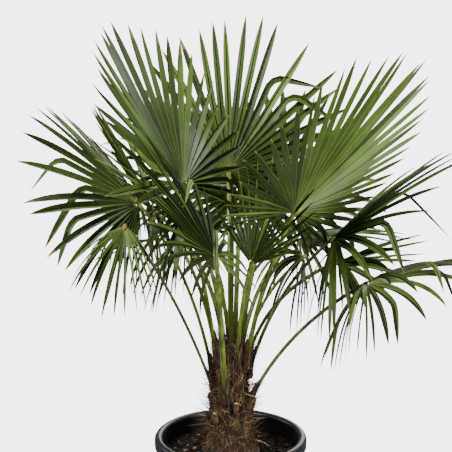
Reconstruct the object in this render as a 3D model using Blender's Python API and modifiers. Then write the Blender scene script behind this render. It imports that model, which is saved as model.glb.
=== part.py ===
"""Potted windmill palm: a short fibrous trunk in a round nursery pot, with fan leaves on long stalks.

Each leaf is a stalk (petiole) and a fan blade (frond). A stalk arches from its foot on the trunk to
its hub. A blade is a thin plate of leaflets that radiate from the hub, joined near it and cut apart
beyond. A leaflet that would touch another leaf is turned a little, shortened, or left out.

All sizes are in metres, +Z is up, and the origin is the middle of the pot's underside.
"""

import math
import random
from typing import NamedTuple

import bmesh
import bpy
from mathutils import Matrix, Vector
from mathutils.bvhtree import BVHTree

GAP = 0.0003

# Pot: a tapered wall with a thick rolled rim
POT_HEIGHT = 0.360
POT_RIM_RADIUS = 0.200
POT_TOP_RADIUS = 0.190
POT_FOOT_RADIUS = 0.150
POT_RIM_DEPTH = 0.030
POT_RIM_WIDTH = 0.021
POT_WALL = 0.006
POT_FLOOR = 0.008
POT_EDGE = 0.003
POT_STEPS = 40
LIP_STEPS = 6

# Soil: fills the pot to just below the rim
SOIL_TOP = 0.312
SOIL_INSET = 0.0012
SOIL_STEPS = 32

# Trunk: height above the pot's underside, and radius there
TRUNK_PROFILE = (
    (0.3123, 0.076),
    (0.330, 0.065),
    (0.360, 0.057),
    (0.400, 0.053),
    (0.460, 0.050),
    (0.500, 0.046),
    (0.540, 0.040),
    (0.580, 0.030),
    (0.602, 0.014),
)
TRUNK_RINGS = 26
TRUNK_SIDES = 24

# Old leaf bases: shields on the trunk in a spiral
BASE_COUNT = 20
BASE_LIFT = 0.006
BASE_HEIGHT = 0.060
BASE_ANGLE = 50.0
BASE_LOWEST = 0.045
BASE_STEP = 0.0065
BASE_TURN = 20.0
GOLDEN_ANGLE = 137.5

# Stalks
STALK_SHARE = 0.012
STALK_LEAST = 0.0020
STALK_TAPER = 0.65
STALK_POINTS = 10
STALK_KNEE = 0.55
STALK_TRIM = 0.0002

# Stalks that were cut off, by azimuth and height, and the folded youngest leaf
STUBS = ((-78, 0.440), (25, 0.420), (140, 0.430), (235, 0.410))
STUB_LENGTH = 0.030
STUB_RADIUS = 0.007
STUB_SHAPE = (0.8, 1.0, 0.9)
STUB_LEAN = 18.0
SPEAR_LENGTH = 0.430
SPEAR_LEAN = 1.5
SPEAR_AZIMUTH = -60.0
SPEAR_SHAPE = ((0.0, 0.005), (0.25, 0.006), (0.6, 0.008), (0.85, 0.005), (1.0, 0.001))

# Blades: a leaflet's path has 10 steps, and each leaf says for how many it is joined to its neighbours
LEAF_THICKNESS = 0.0042
TEST_THICKNESS = LEAF_THICKNESS + 4 * GAP
HUB_RADIUS = 0.012
PATH_STEPS = 10
STATIONS = (0.33, 0.72)
STRAP_WIDTH = 0.85
WIDEST = 0.3
PAST_SPLIT = 0.15
BASAL_LOSS = 0.45
BASAL_POWER = 1.6
SAG = 1.6
SAG_START = 0.25
LIMP_SAG = 0.35
HANG = 0.45
DOWN = Vector((0.0, 0.0, -1.0))
BLADE_CREASE = 30.0
TRUNK_CREASE = 60.0

# How leaflets differ from each other: the least and most of each throw, and the share that is bent
LENGTHS = (0.94, 1.03)
SAGS = (0.7, 1.3)
LIFTS = (-3.0, 3.0)
BENDS = (0.45, 0.8)
BENT_SHARE = 0.3
BENT_DROP = 1.2

# What a leaflet tries before it is left out: degrees of lift off the blade, and share of its length
TRIES = [(lift, reach) for reach in (1.0, 0.8, 0.6) for lift in (0, 4, -4, 8, -8, 13, -13, 19, -19)]


class Leaf(NamedTuple):
    """Where a leaf stands and how its blade is turned. Angles are in degrees, leans from vertical."""

    foot_azimuth: float
    foot_height: float
    foot_lean: float
    hub_x: float
    hub_y: float
    hub_z: float
    blade_azimuth: float
    blade_lean: float
    roll: float
    radius: float
    spread: float
    fold: float
    droop: float
    limp: float
    joined: int
    leaflets: int


# Azimuth 0 is +X, 90 is +Y. Where two leaves would touch, the later one in the table gives way.
LEAVES = (
    Leaf(185, 0.535, 10, -0.230, -0.010, 0.975, 188, 43, -28, 0.36, 130, -15, 0.2, 3.0, 4, 32),
    Leaf(-105, 0.480, 10, -0.035, -0.230, 0.885, 180, 38, 25, 0.41, 95, 5, 0.3, 1.0, 4, 20),
    Leaf(-150, 0.575, 10, -0.115, -0.080, 1.035, 180, 26, -23, 0.43, 115, 10, 0.0, 0.5, 5, 34),
    Leaf(90, 0.590, 5, -0.005, 0.200, 1.035, 15, 17, 75, 0.43, 120, -15, 0.0, 1.5, 4, 36),
    Leaf(-30, 0.560, 10, 0.155, -0.110, 0.970, -5, 39, -30, 0.48, 115, 0, 0.0, 0.0, 5, 38),
    Leaf(0, 0.535, 15, 0.260, 0.000, 0.885, -10, 51, 5, 0.40, 135, 5, 0.2, 4.5, 4, 32),
    Leaf(-35, 0.465, 26, 0.340, -0.040, 0.775, -30, 62, -10, 0.35, 150, 5, 0.5, 5.0, 3, 28),
    Leaf(-65, 0.570, 5, 0.050, -0.070, 0.830, 0, 20, 60, 0.30, 55, 20, 0.0, 0.0, 4, 16),
    Leaf(45, 0.570, 5, 0.140, 0.240, 0.970, 70, 25, 10, 0.32, 140, 10, 0.2, 2.0, 4, 28),
    Leaf(120, 0.570, 5, -0.210, 0.220, 0.920, 165, 30, 10, 0.34, 140, 10, 0.1, 3.0, 4, 28),
    Leaf(75, 0.560, 5, 0.030, 0.340, 0.960, 90, 50, 0, 0.39, 150, 10, 0.2, 3.0, 4, 30),
    Leaf(200, 0.500, 20, -0.250, -0.190, 0.950, -135, 163, -10, 0.23, 150, 10, 0.5, 4.5, 2, 20),
    Leaf(30, 0.540, 15, 0.280, 0.060, 0.810, 5, 80, -45, 0.25, 75, 10, 0.1, 3.0, 3, 14),
    Leaf(105, 0.520, 10, -0.100, 0.300, 0.860, 105, 80, 0, 0.36, 160, 10, 0.3, 3.0, 3, 28),
    Leaf(135, 0.530, 10, -0.150, 0.200, 0.850, 125, 100, 0, 0.28, 150, 10, 0.5, 3.0, 3, 24),
    Leaf(60, 0.530, 10, 0.190, 0.270, 0.840, 50, 85, 0, 0.34, 160, 10, 0.3, 3.0, 3, 26),
    Leaf(95, 0.550, 5, -0.105, 0.050, 0.945, -135, 130, 70, 0.30, 150, 20, 1.3, 4.5, 2, 22),
    Leaf(15, 0.560, 5, 0.195, 0.060, 0.825, -125, 90, -75, 0.25, 80, 0, 1.3, 2.5, 2, 16),
)


def clear_scene():
    for item in list(bpy.data.objects):
        bpy.data.objects.remove(item, do_unlink=True)


def material(name, colour, roughness):
    """A plain non-metal surface."""
    made = bpy.data.materials.new(name)
    made.use_nodes = True
    shader = made.node_tree.nodes["Principled BSDF"]
    shader.inputs["Base Color"].default_value = (*colour, 1.0)
    shader.inputs["Roughness"].default_value = roughness
    shader.inputs["Metallic"].default_value = 0.0
    return made


def heading(azimuth, lean):
    """Unit vector that leans from vertical towards an azimuth, both in degrees."""
    around = math.radians(azimuth)
    tilt = math.radians(lean)
    return Vector((math.cos(around) * math.sin(tilt), math.sin(around) * math.sin(tilt), math.cos(tilt)))


def add_piece(name, data, surface, collection):
    piece = bpy.data.objects.new(name, data)
    piece.data.materials.append(surface)
    collection.objects.link(piece)
    return piece


def mesh_from(name, points, faces, smooth_angle):
    mesh = bpy.data.meshes.new(name)
    mesh.from_pydata(points, [], faces)
    mesh.shade_smooth()
    mesh.set_sharp_from_angle(angle=math.radians(smooth_angle))
    return mesh


def turned(name, profile, steps, surface, collection):
    """A body of revolution from a profile of (radius, height) that ends on the axis."""
    points = [(radius, 0.0, height) for radius, height in profile]
    mesh = bpy.data.meshes.new(name)
    mesh.from_pydata(points, [(i, i + 1) for i in range(len(points) - 1)], [])
    piece = add_piece(name, mesh, surface, collection)
    screw = piece.modifiers.new("turn", "SCREW")
    screw.axis = "Z"
    screw.angle = math.tau
    screw.steps = steps
    screw.render_steps = steps
    screw.use_merge_vertices = True
    screw.merge_threshold = 0.00005
    screw.use_smooth_shade = True
    return piece


def wall_radius(height):
    """Outer radius of the pot's wall."""
    return POT_FOOT_RADIUS + (POT_TOP_RADIUS - POT_FOOT_RADIUS) * height / POT_HEIGHT


def pot(surface, collection):
    """The wall, floor and rolled rim in one turned profile, from inside the floor to under it."""
    inside_foot = wall_radius(POT_FLOOR) - POT_WALL
    under_rim = POT_HEIGHT - POT_RIM_DEPTH
    lip_middle = POT_RIM_RADIUS - POT_RIM_WIDTH / 2
    lip_round = POT_RIM_WIDTH / 2
    profile = [(0.0, POT_FLOOR), (inside_foot, POT_FLOOR), (wall_radius(under_rim) - POT_WALL, under_rim)]
    for step in range(LIP_STEPS + 1):
        angle = math.pi - math.pi * step / LIP_STEPS
        height = POT_HEIGHT - lip_round * (1 - math.sin(angle))
        profile.append((lip_middle + lip_round * math.cos(angle), height))
    profile.append((POT_RIM_RADIUS, under_rim))
    profile.append((wall_radius(under_rim), under_rim - POT_EDGE))
    profile.append((wall_radius(POT_EDGE), POT_EDGE))
    profile.append((POT_FOOT_RADIUS - POT_EDGE, 0.0))
    profile.append((0.0, 0.0))
    return turned("pot", profile, POT_STEPS, surface, collection)


def soil(surface, collection):
    """Potting mix that fills the pot, clear of its floor and wall."""
    foot = wall_radius(POT_FLOOR) - POT_WALL - SOIL_INSET
    floor = POT_FLOOR + GAP
    top = wall_radius(SOIL_TOP) - POT_WALL - SOIL_INSET
    profile = [(0.0, SOIL_TOP), (top, SOIL_TOP), (foot, floor), (0.0, floor)]
    return turned("soil", profile, SOIL_STEPS, surface, collection)


def trunk_radius(height):
    """Radius of the trunk without its leaf bases."""
    for (low, r_low), (high, r_high) in zip(TRUNK_PROFILE, TRUNK_PROFILE[1:]):
        if height <= high:
            share = max(0.0, (height - low) / (high - low))
            return r_low + (r_high - r_low) * share
    return TRUNK_PROFILE[-1][1]


def base_relief(azimuth, height):
    """How far the old leaf bases stand out: shields in a golden-angle spiral, thickest at their tops."""
    lift = 0.0
    low = TRUNK_PROFILE[0][0]
    for count in range(BASE_COUNT):
        top = low + BASE_LOWEST + BASE_STEP * count
        centre = (count * GOLDEN_ANGLE + BASE_TURN) % 360.0
        aside = abs((azimuth - centre + 180.0) % 360.0 - 180.0) / BASE_ANGLE
        below = (top - height) / BASE_HEIGHT
        if aside < 1.0 and 0.0 <= below <= 1.0:
            lift = max(lift, BASE_LIFT * (1.0 - aside * aside) * (1.0 - below))
    return lift


def trunk(surface, collection):
    """A loft of rings whose radius follows the flare, the taper and the leaf bases."""
    low = TRUNK_PROFILE[0][0]
    high = TRUNK_PROFILE[-1][0]
    points = []
    faces = []
    for ring in range(TRUNK_RINGS):
        height = low + (high - low) * ring / (TRUNK_RINGS - 1)
        for side in range(TRUNK_SIDES):
            azimuth = 360.0 * side / TRUNK_SIDES
            radius = trunk_radius(height) + base_relief(azimuth, height)
            points.append((*(heading(azimuth, 90.0) * radius).xy, height))
    for ring in range(TRUNK_RINGS - 1):
        for side in range(TRUNK_SIDES):
            a = ring * TRUNK_SIDES + side
            b = ring * TRUNK_SIDES + (side + 1) % TRUNK_SIDES
            faces.append((a, b, b + TRUNK_SIDES, a + TRUNK_SIDES))
    faces.append(tuple(reversed(range(TRUNK_SIDES))))
    faces.append(tuple(range((TRUNK_RINGS - 1) * TRUNK_SIDES, TRUNK_RINGS * TRUNK_SIDES)))
    return add_piece("trunk", mesh_from("trunk", points, faces, TRUNK_CREASE), surface, collection)


def foot_radius(leaf):
    """A stalk's radius at its foot: a larger blade has a thicker stalk."""
    return STALK_SHARE * leaf.radius + STALK_LEAST


def stalk_foot(leaf):
    """The middle of a stalk's foot, just clear of the trunk."""
    below = leaf.foot_height - foot_radius(leaf)
    relief = base_relief(leaf.foot_azimuth, below)
    out = trunk_radius(below) + relief + foot_radius(leaf) + GAP
    return heading(leaf.foot_azimuth, 90.0) * out + Vector((0.0, 0.0, leaf.foot_height))


def hub_of(leaf):
    return Vector((leaf.hub_x, leaf.hub_y, leaf.hub_z))


def stalk_curve(leaf, share):
    """A point of the stalk's arch, from its foot at 0 to its hub at 1."""
    foot = stalk_foot(leaf)
    hub = hub_of(leaf)
    knee = foot + heading(leaf.foot_azimuth, leaf.foot_lean) * STALK_KNEE * (hub - foot).length
    return foot * (1 - share) ** 2 + knee * 2 * share * (1 - share) + hub * share**2


def blade_axes(leaf):
    """The blade's direction, its side direction and its upper face's normal."""
    along = heading(leaf.blade_azimuth, leaf.blade_lean)
    face = heading(leaf.blade_azimuth, leaf.blade_lean - 90.0)
    face = Matrix.Rotation(math.radians(leaf.roll), 3, along) @ face
    return along, face.cross(along), face


def stalk_end(leaf):
    """The share of the arch at which the stalk ends, clear of the plate round its hub."""
    hub = hub_of(leaf)
    near = (hub - stalk_curve(leaf, 0.97)).normalized()
    back = max((hub - rim).dot(near) for rim, split in split_lines(leaf))
    clear = max(0.0, back) + LEAF_THICKNESS / 2 + GAP
    share = 1.0
    while (hub - stalk_curve(leaf, share)).dot(near) < clear:
        share -= STALK_TRIM
    return share


def leaflet_length(leaf, angle):
    share = abs(angle) / leaf.spread
    return leaf.radius * (1.0 - BASAL_LOSS * share**BASAL_POWER)


def leaflet_path(leaf, angle, length, sag, lift=0.0, kink=1.0):
    """Points from the hub to a leaflet's tip, which sags under its own weight and may be bent."""
    along, across, face = blade_axes(leaf)
    turn = math.radians(angle)
    rise = math.radians(leaf.fold) * abs(math.sin(turn))
    share = abs(angle) / leaf.spread
    way = (along * math.cos(turn) + across * math.sin(turn)) * math.cos(rise) + face * math.sin(rise)
    way = (way + DOWN * leaf.limp * HANG * share**3).normalized()
    weight = (leaf.droop + leaf.limp * LIMP_SAG * share**2) * sag
    here = hub_of(leaf)
    points = [here]
    for step in range(PATH_STEPS):
        done = step / PATH_STEPS
        if step == leaf.joined:
            way = (way + face * math.tan(math.radians(lift))).normalized()
        if done <= kink < done + 1.0 / PATH_STEPS:
            way = (way + DOWN * BENT_DROP).normalized()
        way = (way + DOWN * weight * (SAG_START + done) * SAG / PATH_STEPS).normalized()
        here = here + way * length / PATH_STEPS
        points.append(here)
    return points


def split_line(leaf, angle):
    """The line between two leaflets: a point on the hub's rim, and where the two part."""
    path = leaflet_path(leaf, angle, leaflet_length(leaf, angle), 1.0)
    return path[0] + (path[1] - path[0]).normalized() * HUB_RADIUS, path[leaf.joined]


def split_lines(leaf):
    """The lines on both sides of each leaflet, round the fan."""
    step = 2.0 * leaf.spread / leaf.leaflets
    return [split_line(leaf, i * step - leaf.spread) for i in range(leaf.leaflets + 1)]


def leaflet_width(free):
    """Width beyond the split, as a share of the width there; free is 0 at the split and 1 at the tip."""
    return STRAP_WIDTH * (1.0 + WIDEST * free) * (1.0 - free**3)


def leaflet(leaf, number, seed, lift, reach):
    """A leaflet's pairs of edge points, from the hub's rim outwards, and its tip."""
    step = 2.0 * leaf.spread / leaf.leaflets
    angle = (number + 0.5) * step - leaf.spread
    left = split_line(leaf, angle - step / 2)
    right = split_line(leaf, angle + step / 2)
    side = (right[1] - left[1]) / 2
    length = leaflet_length(leaf, angle) * seed.length * reach
    path = leaflet_path(leaf, angle, length, seed.sag, seed.lift + lift, seed.kink)
    shift = (left[1] + right[1]) / 2 - path[leaf.joined]
    rows = [(left[0], right[0]), (left[1], right[1])]
    for share in STATIONS:
        station = leaf.joined + round(share * (PATH_STEPS - leaf.joined))
        free = (station - leaf.joined) / (PATH_STEPS - leaf.joined)
        centre = path[station] + shift
        rows.append((centre - side * leaflet_width(free), centre + side * leaflet_width(free)))
    return rows, path[-1] + shift


def closed_strip(rows, tip, thickness):
    """Points and faces of a closed strip through pairs of edge points, which ends in a tip."""
    centres = [(left + right) / 2 for left, right in rows] + [tip]
    points = []
    for i, (left, right) in enumerate(rows):
        out = (right - left).cross(centres[i + 1] - centres[i]).normalized() * thickness / 2
        points += [left + out, right + out, right - out, left - out]
    points += [tip + out, tip - out]
    faces = [(0, 1, 2, 3)]
    for row in range(0, 4 * len(rows) - 4, 4):
        for edge in range(4):
            far = (edge + 1) % 4
            faces.append((row + edge, row + 4 + edge, row + 4 + far, row + far))
    last = 4 * len(rows) - 4
    top = last + 4
    under = last + 5
    faces += [(last, top, last + 1), (last + 2, under, last + 3)]
    faces += [(last + 1, top, under, last + 2), (last, last + 3, under, top)]
    return points, faces


def strip_tree(rows, tip):
    """A leaflet's space, a little fuller than the leaflet, for tests of what meets it."""
    return BVHTree.FromPolygons(*closed_strip(rows, tip, TEST_THICKNESS))


def joined_tree(strips):
    points = []
    faces = []
    for strip_points, strip_faces in strips:
        faces += [tuple(len(points) + corner for corner in face) for face in strip_faces]
        points += strip_points
    return BVHTree.FromPolygons(points, faces)


def hub_tree(leaf):
    """The space of the plate at a blade's hub, between its faces."""
    face = blade_axes(leaf)[2] * (LEAF_THICKNESS / 2 + GAP)
    middle = [hub_of(leaf)] + [rim for rim, split in split_lines(leaf)]
    points = [point + face for point in middle] + [point - face for point in middle]
    count = len(middle)
    sides = [(i, (i + 1) % count, (i + 1) % count + count, i + count) for i in range(count)]
    return BVHTree.FromPolygons(points, sides + [tuple(range(count)), tuple(range(count, 2 * count))])


def piece_tree(piece):
    """The space of a piece that is already made."""
    shown = piece.evaluated_get(bpy.context.evaluated_depsgraph_get())
    mesh = shown.to_mesh()
    points = [vertex.co.copy() for vertex in mesh.vertices]
    faces = [tuple(face.vertices) for face in mesh.polygons]
    shown.to_mesh_clear()
    return BVHTree.FromPolygons(points, faces)


class Seed(NamedTuple):
    """How one leaflet differs from the even fan."""

    length: float
    sag: float
    lift: float
    kink: float


def leaflet_seed(dice, outer):
    """A throw for one leaflet; outer is 0 in the fan's middle and 1 at its edge, where more are bent."""
    length = dice.uniform(*LENGTHS)
    sag = dice.uniform(*SAGS)
    lift = dice.uniform(*LIFTS)
    bent = dice.random() < BENT_SHARE * outer**2
    bend_at = dice.uniform(*BENDS)
    return Seed(length, sag, lift, bend_at if bent else 1.0)


def clear_leaflets(leaf, number, others):
    """The leaflets of a blade that meet nothing, each as its place in the fan, its rows and its tip."""
    dice = random.Random(number)
    kept = []
    own = []
    for place in range(leaf.leaflets):
        seed = leaflet_seed(dice, abs(2.0 * place / leaf.leaflets - 1.0))
        for lift, reach in TRIES:
            rows, tip = leaflet(leaf, place, seed, lift, reach)
            past_split = tuple(near.lerp(far, PAST_SPLIT) for near, far in zip(rows[1], rows[2]))
            free = strip_tree([past_split] + rows[2:], tip)
            if any(free.overlap(tree) for tree in own):
                continue
            whole = strip_tree(rows, tip)
            if any(whole.overlap(tree) for tree in others):
                continue
            kept.append((place, rows, tip))
            own.append(free)
            break
    return kept


def frond(name, leaf, kept, surface, collection):
    """A blade: one plate from its hub through the leaflets that are kept, cut to where they part."""
    lines = split_lines(leaf)
    points = [hub_of(leaf)] + [rim for rim, split in lines] + [split for rim, split in lines]
    first_split = 1 + len(lines)
    faces = [(0, 1 + i, 2 + i) for i in range(leaf.leaflets)]
    for place, rows, tip in kept:
        left = first_split + place
        right = left + 1
        faces.append((1 + place, left, right, 2 + place))
        for row in rows[2:]:
            points += row
            faces.append((left, len(points) - 2, len(points) - 1, right))
            left = len(points) - 2
            right = len(points) - 1
        points.append(tip)
        faces.append((left, len(points) - 1, right))
    mesh = mesh_from(name, points, faces, BLADE_CREASE)
    bare = bmesh.new()
    bare.from_mesh(mesh)
    bmesh.ops.delete(bare, geom=[v for v in bare.verts if not v.link_faces], context="VERTS")
    bare.to_mesh(mesh)
    bare.free()
    piece = add_piece(name, mesh, surface, collection)
    plate = piece.modifiers.new("thickness", "SOLIDIFY")
    plate.thickness = LEAF_THICKNESS
    plate.offset = 0.0
    return piece


def rod(name, points, radii, surface, collection):
    """A round tapered tube through a few points, with flat ends."""
    curve = bpy.data.curves.new(name, "CURVE")
    curve.dimensions = "3D"
    curve.bevel_depth = 1.0
    curve.bevel_resolution = 1
    curve.use_fill_caps = True
    spline = curve.splines.new("POLY")
    spline.points.add(len(points) - 1)
    for point, place, radius in zip(spline.points, points, radii):
        point.co = (*place, 1.0)
        point.radius = radius
    return add_piece(name, curve, surface, collection)


def stalk(name, leaf, surface, collection):
    """A leaf's stalk, tapered along its arch."""
    end = stalk_end(leaf)
    shares = [i / (STALK_POINTS - 1) for i in range(STALK_POINTS)]
    points = [stalk_curve(leaf, share * end) for share in shares]
    radii = [foot_radius(leaf) * (1.0 - (1.0 - STALK_TAPER) * share) for share in shares]
    return rod(name, points, radii, surface, collection)


def stub(name, azimuth, height, surface, collection):
    """What is left of a leaf that was cut off: a short stalk that leans out from the trunk."""
    below = height - STUB_RADIUS
    out = trunk_radius(below) + base_relief(azimuth, below) + STUB_RADIUS + GAP
    foot = heading(azimuth, 90.0) * out + Vector((0.0, 0.0, height))
    tip = foot + heading(azimuth, STUB_LEAN) * STUB_LENGTH
    radii = [STUB_RADIUS * share for share in STUB_SHAPE]
    return rod(name, [foot, (foot + tip) / 2, tip], radii, surface, collection)


def spear(surface, collection):
    """The youngest leaf, still folded, upright from the trunk's tip."""
    foot = Vector((0.0, 0.0, TRUNK_PROFILE[-1][0] + GAP))
    rise = heading(SPEAR_AZIMUTH, SPEAR_LEAN) * SPEAR_LENGTH
    points = [foot + rise * share for share, radius in SPEAR_SHAPE]
    radii = [radius for share, radius in SPEAR_SHAPE]
    return rod("spear_leaf", points, radii, surface, collection)


def main():
    clear_scene()
    palm = bpy.data.collections.new("potted_windmill_palm")
    bpy.context.scene.collection.children.link(palm)
    plastic = material("pot_plastic", (0.020, 0.022, 0.026), 0.35)
    mix = material("potting_mix", (0.045, 0.030, 0.020), 0.95)
    fibre = material("trunk_fibre", (0.100, 0.060, 0.035), 0.9)
    green_stalk = material("green_stalk", (0.160, 0.200, 0.040), 0.5)
    cut_stalk = material("cut_stalk", (0.420, 0.300, 0.160), 0.8)
    green_leaf = material("green_leaf", (0.050, 0.100, 0.020), 0.5)
    pot(plastic, palm)
    soil(mix, palm)
    taken = [piece_tree(trunk(fibre, palm)), piece_tree(spear(green_leaf, palm))]
    for count, (azimuth, height) in enumerate(STUBS, start=1):
        taken.append(piece_tree(stub(f"stalk_stub_{count}", azimuth, height, cut_stalk, palm)))
    for count, leaf in enumerate(LEAVES, start=1):
        taken.append(piece_tree(stalk(f"petiole_{count:02d}", leaf, green_stalk, palm)))
    hubs = [hub_tree(leaf) for leaf in LEAVES]
    for count, leaf in enumerate(LEAVES, start=1):
        others = taken + hubs[: count - 1] + hubs[count:]
        kept = clear_leaflets(leaf, count, others)
        frond(f"frond_{count:02d}", leaf, kept, green_leaf, palm)
        taken.append(joined_tree([closed_strip(rows, tip, TEST_THICKNESS) for place, rows, tip in kept]))


if __name__ == "__main__":
    main()
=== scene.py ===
"""Potted windmill palm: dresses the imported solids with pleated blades, stalks, fibre, bark mix and pot.

Runs as a script in Blender 4.5. All sizes are in metres, +Z is up, and the origin is the middle of the
pot's underside. Each leaf follows the rule of the part's source: a stalk arches from its foot on the
trunk to a hub, and leaflets radiate from the hub, joined near it and free beyond.
"""

import math
import random
from typing import NamedTuple

import bpy
from bpy.props import FloatProperty, FloatVectorProperty, IntProperty, PointerProperty
from mathutils import Matrix, Vector, noise
from mathutils.bvhtree import BVHTree


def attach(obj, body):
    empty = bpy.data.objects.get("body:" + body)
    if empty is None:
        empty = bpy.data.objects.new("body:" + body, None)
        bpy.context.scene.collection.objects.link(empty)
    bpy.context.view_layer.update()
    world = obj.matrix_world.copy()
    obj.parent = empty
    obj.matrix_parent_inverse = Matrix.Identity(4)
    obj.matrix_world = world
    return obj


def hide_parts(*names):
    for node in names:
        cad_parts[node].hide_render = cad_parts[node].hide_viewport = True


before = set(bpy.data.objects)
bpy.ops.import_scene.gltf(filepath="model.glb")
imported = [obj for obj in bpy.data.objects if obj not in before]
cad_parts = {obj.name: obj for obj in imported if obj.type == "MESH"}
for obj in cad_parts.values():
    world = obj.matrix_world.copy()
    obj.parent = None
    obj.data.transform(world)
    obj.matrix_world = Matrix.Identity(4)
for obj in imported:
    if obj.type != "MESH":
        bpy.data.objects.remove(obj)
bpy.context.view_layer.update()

bl_info = {
    "name": "Potted windmill palm",
    "version": (1, 0, 0),
    "blender": (4, 5, 0),
    "location": "3D View > Sidebar > Palm",
    "description": "Dresses the packed solids of a potted windmill palm",
    "category": "Object",
}

BODY = "root"
DOWN = Vector((0.0, 0.0, -1.0))
UP = Vector((0.0, 0.0, 1.0))
GAP = 0.0003

# Camera: the photograph's viewpoint, worked out from the ellipses of the pot's rim
PHOTO_SIDE = 452
FOCAL_PIXELS = 1037.0
SENSOR_WIDTH = 36.0
CAMERA_PLACE = (-0.012, -2.600, 1.370)
CAMERA_PITCH = 9.9

# Stage
FLOOR_RADIUS = 0.85
FLOOR_SOLID = 0.22
FLOOR_SIDES = 96
FLOOR_WHITE = (0.90, 0.90, 0.90)
SEEN_WHITE = 6.0
SOFT_WHITE = 0.17

# Pot
POT_HEIGHT = 0.360
POT_RIM_RADIUS = 0.200
POT_TOP_RADIUS = 0.190
POT_FOOT_RADIUS = 0.150
POT_RIM_DEPTH = 0.030
POT_RIM_WIDTH = 0.021
POT_WALL = 0.006
POT_SIDES = 128

# Soil
SOIL_TOP = 0.312
SOIL_RINGS = 46
SOIL_SIDES = 132
SOIL_BUMP = 0.006

# Trunk: height above the pot's underside, and radius there
TRUNK_PROFILE = (
    (0.3123, 0.076),
    (0.330, 0.065),
    (0.360, 0.057),
    (0.400, 0.053),
    (0.460, 0.050),
    (0.500, 0.046),
    (0.540, 0.040),
    (0.580, 0.030),
    (0.602, 0.014),
)
BASE_COUNT = 20
BASE_LIFT = 0.006
BASE_HEIGHT = 0.060
BASE_ANGLE = 50.0
GOLDEN_ANGLE = 137.5
STUBS = ((-78, 0.440), (25, 0.420), (140, 0.430), (235, 0.410))
STUB_LENGTH = 0.030
STUB_RADIUS = 0.007
STUB_LEAN = 18.0
SHEATH_HIGHEST = 0.50
BOOT_SINK = 0.022
BOOT_OPENING = 0.85
FIBRE_STEPS = 4

# Stalks
STALK_SHARE = 0.012
STALK_LEAST = 0.0020
STALK_TAPER = 0.78
STALK_THINNEST = 0.0052
STALK_KNEE = 0.55
STALK_RINGS = 30
OLD_FROM_LEAN = 12.5
STALK_SIDES = 14

# Youngest leaf, still folded
SPEAR_LENGTH = 0.430
SPEAR_LEAN = 1.5
SPEAR_AZIMUTH = -60.0

# Blades: the source's rule, with a path of twice its steps
TEST_THICKNESS = 0.0012
HUB_RADIUS = 0.012
PATH_STEPS = 20
STEP_SHARE = 2
BASAL_LOSS = 0.45
NARROW_BY = 0.4
BLUNT = 4.5
SWING = 0.6
SWING_BY_LIMP = 0.5
BENT_SHARE = 0.3
BEND_SHARE = 0.15
BEND_PULL = 0.5
SAG = 1.6
LIMP_SAG = 0.35
HANG = 0.45
EDGE_SPLIT = 0.55
EDGE_ANGLE = 150.0
TRIES = [(lift, reach) for reach in (1.0, 0.8, 0.6) for lift in (0, 4, -4, 8, -8, 13, -13, 19, -19)]


class Leaf(NamedTuple):
    """Where a leaf stands and how its blade is turned. Angles are in degrees, leans from vertical.

    strap is the width of a free leaflet as a share of its width where it parts from its neighbours.
    """

    foot_azimuth: float
    foot_height: float
    foot_lean: float
    hub_x: float
    hub_y: float
    hub_z: float
    blade_azimuth: float
    blade_lean: float
    roll: float
    radius: float
    spread: float
    fold: float
    droop: float
    limp: float
    joined: int
    leaflets: int
    strap: float


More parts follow.
